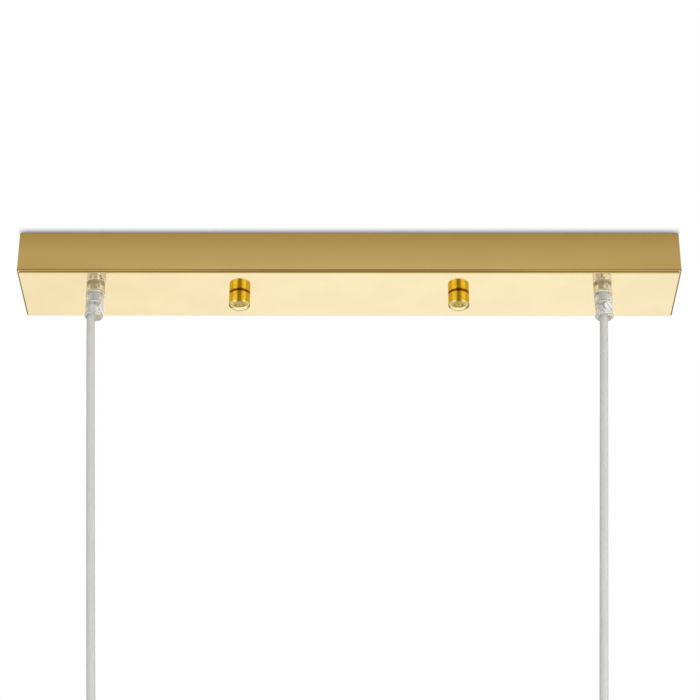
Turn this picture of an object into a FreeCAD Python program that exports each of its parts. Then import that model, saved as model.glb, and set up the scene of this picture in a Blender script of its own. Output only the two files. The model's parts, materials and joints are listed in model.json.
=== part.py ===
import FreeCAD, Part
import math
import os

# Linear pendant, ceiling end: a folded brass tray (the canopy) held up by two cap nuts, with two
# taut cords leaving it through clear cord grips.
# Frame: millimetres, origin on the ceiling at the middle of the canopy, X along the canopy,
# -Y towards the viewer, Z up. Everything of the object lies below Z = 0.

os.makedirs("parts", exist_ok=True)

V = FreeCAD.Vector
UP = V(0, 0, 1)
LEFT, RIGHT = -1, 1
SIDES = {"left": LEFT, "right": RIGHT}

# ---- Driving dimensions, mm ----

# Canopy: a tray folded from sheet, open at the top where it meets the ceiling.
CANOPY_LENGTH = 500.0
CANOPY_WIDTH = 64.6
CANOPY_HEIGHT = 34.5
CANOPY_SHEET = 1.2
BOTTOM_BEND = 2.3           # outside radius along the bottom edges
CORNER_BEND = 1.5           # outside radius of the upright corners

# Ceiling bracket: a strap whose middle lies on the ceiling and whose ends are set down.
STUD_SPACING = 167.0        # between the two hanging screws
STRAP_WIDTH = 25.0
STRAP_SHEET = 1.5
STRAP_FLAT = 124.0          # length of the middle stretch
STRAP_SLOPE = 9.0           # run of each sloping stretch
STRAP_DROP = 8.0            # ceiling to the top of the lowered ends
STRAP_BEND = 2.5            # bend radius at mid-thickness
STRAP_END = 9.0             # hanging screw to the strap's end
STRAP_CORNER = 4.0
SLOT_SPACING = 92.0         # between the centres of the two ceiling slots
SLOT_LENGTH = 20.0
SLOT_WIDTH = 5.0
SUPPLY_HOLE = 12.0

# M4 hanging screws, their nuts, and the decorative cap nuts below the canopy.
THREAD = 4.0
THREAD_PITCH = 0.7
THREAD_ENGAGEMENT = 8.5     # how far a hanging screw reaches into its cap nut
THREAD_FIT = 0.05           # radial clearance of a thread drawn plain
HOLE_CLEARANCE = 0.25       # radial clearance of a screw in a punched hole
HEAD_DIAMETER = 8.0
HEAD_HEIGHT = 2.6
RECESS_WIDTH = 0.9          # cross recess
RECESS_DEPTH = 1.2
RECESS_SPREAD = 0.5         # recess across, as a share of the head
HEAD_SIDE = 0.45            # upright part of a pan head, as a share of its height
HEAD_CROWN_RADIUS = 0.3     # point on the dome, as a share of the head's width
HEAD_CROWN_HEIGHT = 0.93    # and of its height
SCREW_TIP = 0.4             # taper at a screw's end
OVERCUT = 1.0               # how far a cutting cylinder starts outside what it cuts
HEX_NUT_ACROSS = 7.0
HEX_NUT_HEIGHT = 3.2
CANOPY_STUD_HOLE = 5.0
CANOPY_TURNS = 12           # of the cap nuts, to lower the canopy
CAP_NUT_DIAMETER = 16.2
CAP_NUT_SIDE = 9.5
CAP_NUT_DOME = 3.2
CAP_NUT_FOOT = 1.1          # height of the undercut foot on the canopy
CAP_NUT_UNDERCUT = 0.5      # how far the foot stands in from the side
CAP_NUT_EASE = 0.25
CAP_NUT_SPARE = 0.7         # blind hole beyond the screw's tip

# Cord grip: one clear moulding, an M10 spigot over a solid collar over an open cup.
GRIP_FROM_END = 56.2        # cord's axis to the canopy's end
GRIP_DIAMETER = 14.35
COLLAR_LENGTH = 10.2
CUP_LENGTH = 9.9
CUP_BORE = 11.0
CUP_RIM = 0.75              # rounding of the cup's lip
SEAT_EASE = 0.3             # bevel around the collar, where it meets the canopy
GRIP_BORE = 7.4
LEAD_IN_DEPTH = 3.0
LEAD_IN_WIDTH = 0.65
SPIGOT_DIAMETER = 10.0
SPIGOT_LENGTH = 7.5
SPIGOT_CHAMFER = 0.5
WASHER_DIAMETER = 16.0
WASHER_SHEET = 0.8
WASHER_TEETH = 10
WASHER_NOTCH = 1.92         # diameter of the notch between two teeth
GRIP_NUT_ACROSS = 14.0
GRIP_NUT_HEIGHT = 3.0
GRIP_NUT_TURN = 12.0        # how the tightened nuts happen to stand
CLAMP_DIAMETER = 7.0        # clear screw across the cup, which presses on the cord
CLAMP_FLUSH = 0.2           # outer end inside the grip's outline
CLAMP_SLOT_WIDTH = 1.1
CLAMP_SLOT_DEPTH = 1.4
CLAMP_POINT = 0.5           # length of the tapered point
CLAMP_EASE = 0.2
CLAMP_SLOT_TURN = 35.0
CLAMP_ANGLES = {"left": -24.0, "right": -65.0}      # from +X towards -Y
LOWER_CLAMP_ANGLE = -90.0

# Cords: clear jacket over three cores, held straight between the two grips.
CORD_DIAMETER = 6.25
CORD_PUSH = 2.15            # how far the clamp screw pushes the cord's line sideways
CORD_AT_SCREW = 1.15        # the same where the screw's point stands
CORD_GAP = 0.3              # screw's point to the cord
JACKET_ABOVE_SPIGOT = 2.5
BEND_BELOW_SEAT = 5.5       # canopy's underside to the cord's upper bend
BEND_HEIGHT = 10.0          # between the two bends of a grip
CORD_LEAN = 17.3            # how far inward a cord runs from grip to grip
LOWER_GRIP_TOP = 369.2      # ceiling to the lip of the lower grips
JACKET_INSIDE_LOWER = 1.5   # lower end of the jacket inside its spigot

# Cores between the cords and the terminal block, and the canopy's earth lead.
CORE_DIAMETER = 1.9
CORE_CIRCLE = 1.2           # the cores' centres lie on this radius in the jacket
EARTH_DIAMETER = 2.4
BEND_SHARE = 0.45           # arc's share of the shorter run beside a bend
CORE_RISE = 8.5             # jacket's end to the first bend
CORE_SPREAD = 0.04          # how much of its lane a core has taken at the crest
CREST_SPREAD = 1.3          # the cores' places in the jacket, drawn apart at the crest
CREST_RUN = 7.0             # jacket's end, along X, to the crest of the first arch,
SHOULDER_RUN = 22.0         # to where the core starts down,
DESCENT_RUN = 42.0          # to where it nears the canopy's floor,
LYING_RUN = 72.0            # and to where it lies there
SHOULDER_SPREAD = 0.55      # share of its lane that a core has taken where it starts down
SHOULDER_DROP = 2.5
CORE_GAP = 0.4              # canopy's floor to a lying core
DESCENT_LIFT = 4.0          # heights above a lying core, on the way down,
STUD_LIFT = 1.5             # behind the hanging screw
APPROACH_LIFT = 2.5         # and before the terminal block
STUD_PASS = 2.0             # past the hanging screw, along X
LANE_WANDER = 2.0           # sideways, where a core lies
APPROACH_WANDER = 3.0
APPROACH_RUN = 40.0         # block's end, along X, to the last stretch on the floor,
CLIMB_RUN = 21.0            # to the middle of the climb,
ENTRY_RUN = 10.0            # and to the straight run into the pole
CLIMB_DROP = 9.0            # pole's axis to the middle of the climb
CORE_IN_POLE = 1.5

# Terminal block: three poles side by side under the strap, wired from both ends.
TERMINAL_X = 21.0
POLES = 3
POLE_PITCH = 8.2
POLE_WIDTH = 7.0
POLE_LENGTH = 17.0
TERMINAL_HEIGHT = 12.0
TERMINAL_BASE = 2.6
TERMINAL_AXIS = 5.4         # strap to the axis of the wire holes
TERMINAL_ROUND = 1.5
WIRE_HOLE = 2.6
INSERT_DIAMETER = 5.0
INSERT_BORE = 3.2
INSERT_LENGTH = 13.0
INSERT_FIT = 0.05
POLE_SCREW = 2.8
POLE_SCREW_HEAD = 3.4
POLE_SCREW_HEAD_HEIGHT = 1.4
POLE_SCREW_SPACING = 8.0
POLE_SCREW_DEPTH = 0.6      # screw's tip above the bottom of the insert's bore
POLE_SCREW_STANDOFF = 0.8   # insert to the underside of the head
POLE_SCREW_SLOT = 0.7
POLE_SCREW_EASE = 0.3
POLE_SCREW_TURN = 25.0      # each slot stands this much further round than the last
POLE_SHAFT_ROOM = 0.5       # shaft's diameter over the head's
PEG_DIAMETER = 3.0          # moulded pegs that hold the block in the strap
PEG_SPACING = 8.2

# Earth connections: a screw in the strap and a stud on the canopy's floor.
EARTH_SCREW_X = -20.0
EARTH_STUD_X = -45.0
EARTH_STUD_Y = -17.0
EARTH_STUD_LENGTH = 9.0
TAG_DIAMETER = 8.0
TAG_SHEET = 0.8
TAG_BARREL = 3.8
TAG_BARREL_LENGTH = 5.0
TAG_REACH = 4.6             # ring's centre to the barrel
TAG_STANDOFF = 0.1          # barrel to the face that the ring lies on
TAG_OVERLAP = 0.6           # neck's end inside the barrel
TAG_RISER = 3.04            # width of the step up to the barrel
EARTH_SCREW_SHORT = 0.1     # its end below the ceiling
EARTH_NUT_TURN = 20.0

# The earth lead: straight out of the bracket's tag, down near the canopy's long side, and
# along the floor into the canopy's tag.
LEAD_END = 1.0              # lead's end inside a barrel
LEAD_OUT = 11.0
LEAD_TURN_Y = -24.0
LEAD_TURN_Z = -13.0
LEAD_FALL_X = 3.0
LEAD_FALL_Y = -25.0
LEAD_FALL_Z = -24.0
LEAD_LANDING = 17.0

# ---- Values that follow ----

FLOOR = -CANOPY_HEIGHT                              # canopy's underside
FLOOR_INSIDE = FLOOR + CANOPY_SHEET
STUD_X = STUD_SPACING / 2
STRAP_END_TOP = -STRAP_DROP
STRAP_END_UNDER = -STRAP_DROP - STRAP_SHEET
SCREW_LENGTH = CANOPY_HEIGHT - STRAP_DROP + THREAD_ENGAGEMENT
GRIP_X = CANOPY_LENGTH / 2 - GRIP_FROM_END
GRIP_LENGTH = COLLAR_LENGTH + CUP_LENGTH
LOWER_GRIP_X = GRIP_X - CORD_LEAN
LOWER_SEAT = -LOWER_GRIP_TOP - GRIP_LENGTH
CLAMP_BELOW_SEAT = COLLAR_LENGTH + CLAMP_DIAMETER / 2
CLAMP_TIP = CORD_DIAMETER / 2 - CORD_AT_SCREW + CORD_GAP
CLAMP_END = GRIP_DIAMETER / 2 - CLAMP_FLUSH
JACKET_TOP = FLOOR + SPIGOT_LENGTH + JACKET_ABOVE_SPIGOT
TERMINAL_TOP = -STRAP_SHEET
TERMINAL_AXIS_Z = TERMINAL_TOP - TERMINAL_AXIS


# ---- Small geometry helpers ----

def outline(start, *steps):
    """Closed wire in the XZ plane: a step is the next point, or (point on an arc, arc's end)."""
    at = lambda point: V(point[0], 0, point[1])
    edges = []
    here = start
    for step in list(steps) + [start]:
        if isinstance(step[0], tuple):
            through, step = step
            edges.append(Part.Arc(at(here), at(through), at(step)).toShape())
        else:
            edges.append(Part.LineSegment(at(here), at(step)).toShape())
        here = step
    return Part.Wire(edges)


def turned(start, *steps):
    """Solid of revolution about Z of an outline whose points are (radius, height)."""
    return Part.Face(outline(start, *steps)).revolve(V(0, 0, 0), UP, 360)


def cylinder(diameter, length, base=V(0, 0, 0), direction=UP):
    return Part.makeCylinder(diameter / 2, length, base, direction)


def hexagon(across, height):
    """Hexagonal bar standing on Z = 0."""
    corner_radius = across / math.sqrt(3)
    corners = [
        V(corner_radius * math.cos(turn), corner_radius * math.sin(turn), 0)
        for turn in (math.radians(60 * k) for k in range(7))
    ]
    return Part.Face(Part.makePolygon(corners)).extrude(V(0, 0, height))


def hex_nut(across, height, thread):
    """Nut standing on Z = 0, its corners turned off at both faces."""
    wide = across / math.sqrt(3)
    flat = across / 2
    lathe = turned(
        (0, 0), (flat, 0), (wide, (wide - flat) / 2),
        (wide, height - (wide - flat) / 2), (flat, height), (0, height),
    )
    bore = cylinder(thread + 2 * THREAD_FIT, height)
    return hexagon(across, height).common(lathe).cut(bore)


def pan_head_screw(thread, length, head, head_height):
    """Screw hanging down from Z = 0, which is the underside of its domed, cross-recessed head."""
    shank = thread / 2
    tip = SCREW_TIP
    side = head_height * HEAD_SIDE
    crown = (head * HEAD_CROWN_RADIUS, head_height * HEAD_CROWN_HEIGHT)
    screw = turned(
        (0, -length), (shank - tip, -length), (shank, -length + tip), (shank, 0),
        (head / 2, 0), (head / 2, side), (crown, (0, head_height)),
    )
    for along in (V(1, 0, 0), V(0, 1, 0)):
        across = V(along.y, along.x, 0)
        arm = head * RECESS_SPREAD
        corner = (along * -arm + across * -RECESS_WIDTH) / 2 + V(0, 0, head_height - RECESS_DEPTH)
        size = along * arm + across * RECESS_WIDTH
        screw = screw.cut(Part.makeBox(size.x, size.y, RECESS_DEPTH * 2, corner))
    return screw


def rounded_tray(length, width, height, bend, corner):
    """Block under Z = 0 with its bottom edges and its upright corners rounded in one blend."""
    work = FreeCAD.newDocument("tray")
    block = work.addObject("Part::Feature", "block")
    block.Shape = Part.makeBox(length, width, height, V(-length / 2, -width / 2, -height))
    blend = work.addObject("Part::Fillet", "blend")
    blend.Base = block
    radii = []
    for number, edge in enumerate(block.Shape.Edges, 1):
        level = edge.CenterOfMass.z
        if abs(level + height) < 0.01:
            radii.append((number, bend, bend))
        elif level < -0.01:
            radii.append((number, corner, corner))
    blend.Edges = radii
    work.recompute()
    shape = blend.Shape.Solids[0].copy()
    FreeCAD.closeDocument(work.Name)
    return shape


def bent_path(points, radius=None):
    """Runs between points, joined by tangent arcs. Without a radius, each arc is as large as the
    two runs beside it allow. Returns the wire, its length and its arcs' radii."""
    edges = []
    radii = []
    here = points[0]
    for before, corner, after in zip(points, points[1:], points[2:]):
        arriving = (corner - before).normalize()
        leaving = (after - corner).normalize()
        half_turn = arriving.getAngle(leaving) / 2
        shorter = min((corner - before).Length, (after - corner).Length)
        bend = radius or BEND_SHARE * shorter / math.tan(half_turn)
        tangent = bend * math.tan(half_turn)
        start = corner - arriving * tangent
        end = corner + leaving * tangent
        inward = (leaving - arriving).normalize()
        middle = corner + inward * (bend / math.cos(half_turn) - bend)
        edges.append(Part.LineSegment(here, start).toShape())
        edges.append(Part.Arc(start, middle, end).toShape())
        radii.append(bend)
        here = end
    edges.append(Part.LineSegment(here, points[-1]).toShape())
    wire = Part.Wire(edges)
    return wire, sum(edge.Length for edge in edges), radii


def tube(name, points, diameter):
    """Round cord along a bent path. Prints its length and radii, and its volume against
    section times length."""
    path, length, radii = bent_path(points)
    section = Part.Wire(Part.makeCircle(diameter / 2, points[0], points[1] - points[0]))
    solid = path.makePipeShell([section], True, False)
    ratio = solid.Volume / (math.pi * diameter ** 2 / 4 * length)
    shown = " ".join(f"{r:.1f}" for r in radii)
    print(f"{name}: length {length:.1f}, radii {shown}, volume ratio {ratio:.4f}")
    return solid


def grip_direction(angle):
    return V(math.cos(math.radians(angle)), math.sin(math.radians(angle)), 0)


def stood_at(shape, x, y, z, angle=0.0, about=UP):
    """Copy of a shape turned about an axis through the origin, then moved."""
    copy = shape.copy()
    copy.rotate(V(0, 0, 0), about, angle)
    copy.translate(V(x, y, z))
    return copy


def saved(name, solids):
    shape = solids if isinstance(solids, Part.Shape) else Part.makeCompound(solids)
    shape.exportStep(f"parts/{name}.step")


# ---- Canopy ----

def canopy_shell():
    outer = rounded_tray(CANOPY_LENGTH, CANOPY_WIDTH, CANOPY_HEIGHT, BOTTOM_BEND, CORNER_BEND)
    inner = rounded_tray(
        CANOPY_LENGTH - 2 * CANOPY_SHEET, CANOPY_WIDTH - 2 * CANOPY_SHEET,
        CANOPY_HEIGHT - CANOPY_SHEET, BOTTOM_BEND - CANOPY_SHEET, CORNER_BEND - CANOPY_SHEET,
    )
    shell = outer.cut(inner)
    for side in SIDES.values():
        spigot_hole = SPIGOT_DIAMETER + 2 * HOLE_CLEARANCE
        for x, hole in ((GRIP_X, spigot_hole), (STUD_X, CANOPY_STUD_HOLE)):
            start = V(side * x, 0, FLOOR - OVERCUT)
            shell = shell.cut(cylinder(hole, CANOPY_SHEET + 2 * OVERCUT, start))
    return shell


def canopy_earth_stud():
    """Stud welded upright on the canopy's floor."""
    shank = THREAD / 2
    stud = turned(
        (0, 0), (shank, 0), (shank, EARTH_STUD_LENGTH - SCREW_TIP),
        (shank - SCREW_TIP, EARTH_STUD_LENGTH), (0, EARTH_STUD_LENGTH),
    )
    return stood_at(stud, EARTH_STUD_X, EARTH_STUD_Y, FLOOR_INSIDE)


# ---- Ceiling bracket ----

def ceiling_bracket():
    mid = STRAP_SHEET / 2
    flat_end = STRAP_FLAT / 2
    set_down = flat_end + STRAP_SLOPE
    end = STUD_X + STRAP_END
    right_half = [(flat_end, -mid), (set_down, -STRAP_DROP - mid), (end, -STRAP_DROP - mid)]
    line = [V(-x, 0, z) for x, z in reversed(right_half)] + [V(x, 0, z) for x, z in right_half]
    path = bent_path(line, STRAP_BEND)[0]
    start = line[0]
    half = STRAP_WIDTH / 2
    corners = [
        start + V(0, y, z)
        for y, z in ((-half, -mid), (half, -mid), (half, mid), (-half, mid), (-half, -mid))
    ]
    strap = path.makePipeShell([Part.makePolygon(corners)], True, False)
    upright = [
        edge for edge in strap.Edges
        if abs(abs(edge.CenterOfMass.x) - end) < 0.01 and abs(abs(edge.CenterOfMass.y) - half) < 0.01
    ]
    strap = strap.makeFillet(STRAP_CORNER, upright)
    deep = STRAP_SHEET * 3
    for side in SIDES.values():
        strap = strap.cut(ceiling_slot(side * SLOT_SPACING / 2, deep))
        hole = THREAD + 2 * HOLE_CLEARANCE
        strap = strap.cut(cylinder(hole, deep, V(side * STUD_X, 0, STRAP_END_UNDER - STRAP_SHEET)))
    strap = strap.cut(cylinder(SUPPLY_HOLE, deep, V(0, 0, -deep / 2)))
    strap = strap.cut(cylinder(THREAD + 2 * THREAD_FIT, deep, V(EARTH_SCREW_X, 0, -deep / 2)))
    for side in SIDES.values():
        peg_hole = PEG_DIAMETER + 2 * THREAD_FIT
        at = V(TERMINAL_X, side * PEG_SPACING / 2, -deep / 2)
        strap = strap.cut(cylinder(peg_hole, deep, at))
    return strap


def ceiling_slot(x, deep):
    reach = (SLOT_LENGTH - SLOT_WIDTH) / 2
    slot = Part.makeBox(2 * reach, SLOT_WIDTH, deep, V(x - reach, -SLOT_WIDTH / 2, -deep / 2))
    for end in (LEFT, RIGHT):
        slot = slot.fuse(cylinder(SLOT_WIDTH, deep, V(x + end * reach, 0, -deep / 2)))
    return slot.removeSplitter()


def hanging_screws():
    screw = pan_head_screw(THREAD, SCREW_LENGTH, HEAD_DIAMETER, HEAD_HEIGHT)
    return [stood_at(screw, side * STUD_X, 0, STRAP_END_TOP) for side in SIDES.values()]


def hanging_nuts():
    nut = hex_nut(HEX_NUT_ACROSS, HEX_NUT_HEIGHT, THREAD)
    return [
        stood_at(nut, side * STUD_X, 0, STRAP_END_UNDER - HEX_NUT_HEIGHT, 90)
        for side in SIDES.values()
    ]


def cap_nut(side):
    """Turned cap nut: undercut foot, plain side and a low dome, blind from above."""
    radius = CAP_NUT_DIAMETER / 2
    foot = radius - CAP_NUT_UNDERCUT
    shoulder = -CAP_NUT_FOOT
    rim = -CAP_NUT_SIDE
    ball = (radius ** 2 + CAP_NUT_DOME ** 2) / (2 * CAP_NUT_DOME)
    bottom = rim - CAP_NUT_DOME
    half_width = radius / 2
    half_drop = bottom + ball - math.sqrt(ball ** 2 - half_width ** 2)
    body = turned(
        (0, 0), (foot, 0), (foot, shoulder), (radius - CAP_NUT_EASE, shoulder),
        (radius, shoulder - CAP_NUT_EASE), (radius, rim), ((half_width, half_drop), (0, bottom)),
    )
    depth = THREAD_ENGAGEMENT + CAP_NUT_SPARE
    bore = THREAD / 2 + THREAD_FIT
    hole = turned((0, 0), (bore, 0), (bore, -depth), (0, -depth - bore / 2))
    return stood_at(body.cut(hole), side * STUD_X, 0, FLOOR)


# ---- Cord grips ----

def grip_section():
    """Half section of the grip, seat at Z = 0, spigot up and cup down."""
    bore = GRIP_BORE / 2
    spigot = SPIGOT_DIAMETER / 2
    outside = GRIP_DIAMETER / 2
    cup = CUP_BORE / 2
    lip = -GRIP_LENGTH
    slant = CUP_RIM * (1 - math.sqrt(0.5))
    ease = SEAT_EASE
    return (
        (bore, SPIGOT_LENGTH), (spigot - SPIGOT_CHAMFER, SPIGOT_LENGTH),
        (spigot, SPIGOT_LENGTH - SPIGOT_CHAMFER), (spigot, 0), (outside - ease, 0),
        (outside, -ease), (outside, lip + CUP_RIM),
        ((outside - slant, lip + slant), (outside - CUP_RIM, lip)), (cup + CUP_RIM, lip),
        ((cup + slant, lip + slant), (cup, lip + CUP_RIM)), (cup, -COLLAR_LENGTH),
        (bore + LEAD_IN_WIDTH, -COLLAR_LENGTH), (bore, -COLLAR_LENGTH + LEAD_IN_DEPTH),
    )


def grip_body(angle):
    start, *steps = grip_section()
    hole = cylinder(
        CLAMP_DIAMETER + 2 * THREAD_FIT, GRIP_DIAMETER, V(0, 0, -CLAMP_BELOW_SEAT),
        grip_direction(angle),
    )
    return turned(start, *steps).cut(hole)


def clamp_screw(angle):
    """Slotted clear screw with a short tapered point, lying along X before it is turned."""
    radius = CLAMP_DIAMETER / 2
    point = radius - 3 * CLAMP_POINT
    ease = CLAMP_EASE
    standing = turned(
        (0, CLAMP_TIP), (point, CLAMP_TIP), (radius, CLAMP_TIP + CLAMP_POINT),
        (radius, CLAMP_END - ease), (radius - ease, CLAMP_END), (0, CLAMP_END),
    )
    slot = Part.makeBox(
        CLAMP_DIAMETER * 2, CLAMP_SLOT_WIDTH, CLAMP_SLOT_DEPTH * 2,
        V(-CLAMP_DIAMETER, -CLAMP_SLOT_WIDTH / 2, CLAMP_END - CLAMP_SLOT_DEPTH),
    )
    slot.rotate(V(0, 0, 0), UP, CLAMP_SLOT_TURN)
    lying = stood_at(standing.cut(slot), 0, 0, 0, 90, V(0, 1, 0))
    return stood_at(lying, 0, 0, -CLAMP_BELOW_SEAT, angle)


def turned_over(shape):
    """The same piece upside down, for the lower grips. Left and right of the screw swap."""
    return stood_at(shape, 0, 0, 0, 180, V(1, 0, 0))


def grip_washers():
    """External-tooth lock washers on the canopy's floor."""
    rim = WASHER_DIAMETER / 2
    washer = cylinder(WASHER_DIAMETER, WASHER_SHEET)
    washer = washer.cut(cylinder(SPIGOT_DIAMETER + 2 * HOLE_CLEARANCE, WASHER_SHEET))
    for tooth in range(WASHER_TEETH):
        turn = math.radians(360 * tooth / WASHER_TEETH)
        middle = V(rim * math.cos(turn), rim * math.sin(turn), 0)
        washer = washer.cut(cylinder(WASHER_NOTCH, WASHER_SHEET, middle))
    return [stood_at(washer, side * GRIP_X, 0, FLOOR_INSIDE) for side in SIDES.values()]


def grip_nuts():
    nut = hex_nut(GRIP_NUT_ACROSS, GRIP_NUT_HEIGHT, SPIGOT_DIAMETER)
    level = FLOOR_INSIDE + WASHER_SHEET
    return [stood_at(nut, side * GRIP_X, 0, level, GRIP_NUT_TURN * side) for side in SIDES.values()]


# ---- Cords ----

def cord_points(name):
    """Jacket's line: down through the upper grip, pushed aside by the clamp screw, straight to
    the lower grip, and back to that grip's axis."""
    side = SIDES[name]
    push = grip_direction(CLAMP_ANGLES[name]) * -CORD_PUSH
    lower_push = grip_direction(LOWER_CLAMP_ANGLE) * -CORD_PUSH
    upper = V(side * GRIP_X, 0, FLOOR - BEND_BELOW_SEAT)
    lower = V(side * LOWER_GRIP_X, 0, LOWER_SEAT + BEND_BELOW_SEAT)
    return [
        V(side * GRIP_X, 0, JACKET_TOP),
        upper,
        upper + push - UP * BEND_HEIGHT,
        lower + lower_push + UP * BEND_HEIGHT,
        lower,
        V(side * LOWER_GRIP_X, 0, LOWER_SEAT - SPIGOT_LENGTH + JACKET_INSIDE_LOWER),
    ]


# ---- Terminal block ----

def pole_rows():
    return [POLE_PITCH * (row - (POLES - 1) / 2) for row in range(POLES)]


def terminal_housing():
    """Moulded block: a base under the strap, one rounded tower to each pole, two pegs."""
    width = POLE_PITCH * (POLES - 1) + POLE_WIDTH
    start_x = TERMINAL_X - POLE_LENGTH / 2
    corner = V(start_x, -width / 2, TERMINAL_TOP - TERMINAL_BASE)
    housing = Part.makeBox(POLE_LENGTH, width, TERMINAL_BASE, corner)
    for row in pole_rows():
        corner = V(start_x, row - POLE_WIDTH / 2, TERMINAL_TOP - TERMINAL_HEIGHT)
        tower = Part.makeBox(POLE_LENGTH, POLE_WIDTH, TERMINAL_HEIGHT, corner)
        low = [edge for edge in tower.Edges if abs(edge.CenterOfMass.z - corner.z) < 0.01]
        housing = housing.fuse(tower.makeFillet(TERMINAL_ROUND, low))
    for row in pole_rows():
        along = V(1, 0, 0)
        through = V(start_x - OVERCUT, row, TERMINAL_AXIS_Z)
        housing = housing.cut(cylinder(WIRE_HOLE, POLE_LENGTH + 2 * OVERCUT, through, along))
        room = INSERT_LENGTH + 2 * INSERT_FIT
        chamber = V(TERMINAL_X - room / 2, row, TERMINAL_AXIS_Z)
        housing = housing.cut(cylinder(INSERT_DIAMETER + 2 * INSERT_FIT, room, chamber, along))
        for x in pole_screw_places():
            shaft = V(x, row, TERMINAL_TOP - TERMINAL_HEIGHT - OVERCUT)
            tall = TERMINAL_HEIGHT + OVERCUT - TERMINAL_AXIS
            housing = housing.cut(cylinder(POLE_SCREW_HEAD + POLE_SHAFT_ROOM, tall, shaft))
    for side in SIDES.values():
        peg = cylinder(PEG_DIAMETER, STRAP_SHEET, V(TERMINAL_X, side * PEG_SPACING / 2, TERMINAL_TOP))
        housing = housing.fuse(peg)
    return housing.removeSplitter()


def pole_screw_places():
    return [TERMINAL_X + side * POLE_SCREW_SPACING / 2 for side in (LEFT, RIGHT)]


def terminal_inserts():
    inserts = []
    for row in pole_rows():
        start = V(TERMINAL_X - INSERT_LENGTH / 2, row, TERMINAL_AXIS_Z)
        along = V(1, 0, 0)
        insert = cylinder(INSERT_DIAMETER, INSERT_LENGTH, start, along)
        insert = insert.cut(cylinder(INSERT_BORE, INSERT_LENGTH, start, along))
        for x in pole_screw_places():
            tapped = V(x, row, TERMINAL_AXIS_Z - INSERT_DIAMETER)
            insert = insert.cut(cylinder(POLE_SCREW + 2 * THREAD_FIT, INSERT_DIAMETER, tapped))
        inserts.append(insert)
    return inserts


def terminal_screws():
    """Slotted screws, heads down in the block's shafts."""
    tip = TERMINAL_AXIS_Z - INSERT_BORE / 2 + POLE_SCREW_DEPTH
    under_head = TERMINAL_AXIS_Z - INSERT_DIAMETER / 2 - POLE_SCREW_STANDOFF
    length = tip - under_head
    head = POLE_SCREW_HEAD_HEIGHT
    rim = POLE_SCREW_HEAD / 2
    shank = POLE_SCREW / 2
    screw = turned(
        (0, -head), (rim - POLE_SCREW_EASE, -head), (rim, -head + POLE_SCREW_EASE), (rim, 0),
        (shank, 0), (shank, length), (0, length),
    )
    slot = POLE_SCREW_SLOT
    screw = screw.cut(Part.makeBox(4 * rim, slot, slot, V(-2 * rim, -slot / 2, -head)))
    return [
        stood_at(screw, x, row, under_head, POLE_SCREW_TURN * number)
        for number, (row, x) in enumerate((r, x) for r in pole_rows() for x in pole_screw_places())
    ]


# ---- Earth connections ----

def ring_tag():
    """Crimp tag: ring on Z = 0, barrel along +X standing just clear of that plane."""
    half = TAG_BARREL / 2
    level = half + TAG_STANDOFF
    ring = cylinder(TAG_DIAMETER, TAG_SHEET)
    neck = Part.makeBox(TAG_REACH + TAG_OVERLAP, TAG_BARREL, TAG_SHEET, V(0, -half, 0))
    step = V(TAG_REACH - TAG_OVERLAP, -TAG_RISER / 2, 0)
    riser = Part.makeBox(2 * TAG_OVERLAP, TAG_RISER, level, step)
    along = V(1, 0, 0)
    barrel = cylinder(TAG_BARREL, TAG_BARREL_LENGTH, V(TAG_REACH, 0, level), along)
    bore = EARTH_DIAMETER + 2 * THREAD_FIT
    tag = ring.fuse([neck, riser, barrel])
    tag = tag.cut(cylinder(bore, TAG_BARREL_LENGTH, V(TAG_REACH + TAG_OVERLAP, 0, level), along))
    return tag.cut(cylinder(THREAD + 2 * HOLE_CLEARANCE, TAG_SHEET, V(0, 0, 0))).removeSplitter()


def bracket_earth_tag():
    under = turned_over(ring_tag())
    return stood_at(under, EARTH_SCREW_X, 0, -STRAP_SHEET, -90)


def canopy_earth_tag():
    return stood_at(ring_tag(), EARTH_STUD_X, EARTH_STUD_Y, FLOOR_INSIDE)


def earth_screw():
    """Screw up into the strap, its head under the tag, its end short of the ceiling."""
    length = STRAP_SHEET + TAG_SHEET - EARTH_SCREW_SHORT
    screw = turned_over(pan_head_screw(THREAD, length, HEAD_DIAMETER, HEAD_HEIGHT))
    return stood_at(screw, EARTH_SCREW_X, 0, -STRAP_SHEET - TAG_SHEET)


def canopy_earth_nut():
    nut = hex_nut(HEX_NUT_ACROSS, HEX_NUT_HEIGHT, THREAD)
    return stood_at(nut, EARTH_STUD_X, EARTH_STUD_Y, FLOOR_INSIDE + TAG_SHEET, EARTH_NUT_TURN)


def earth_lead_points():
    level = TAG_BARREL / 2 + TAG_STANDOFF
    from_tag = V(EARTH_SCREW_X, -TAG_REACH - LEAD_END, -STRAP_SHEET - level)
    to_tag = V(EARTH_STUD_X + TAG_REACH + LEAD_END, EARTH_STUD_Y, FLOOR_INSIDE + level)
    return [
        from_tag,
        from_tag + V(0, -LEAD_OUT, 0),
        V(EARTH_SCREW_X, LEAD_TURN_Y, LEAD_TURN_Z),
        V(EARTH_SCREW_X + LEAD_FALL_X, LEAD_FALL_Y, LEAD_FALL_Z),
        to_tag + V(LEAD_LANDING, 0, 0),
        to_tag,
    ]


# ---- Cores ----

CORES = ("live", "earth", "neutral")    # in the order of the poles, from the viewer's side
CORE_TURNS = {"live": -90.0, "earth": 150.0, "neutral": 30.0}   # place in the jacket
CORE_LANE_Y = {"live": 8.0, "earth": 12.0, "neutral": 16.0}     # place on the canopy's floor
CORE_CREST = {"live": -10.0, "earth": -8.5, "neutral": -6.0}    # height of the first arch


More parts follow.
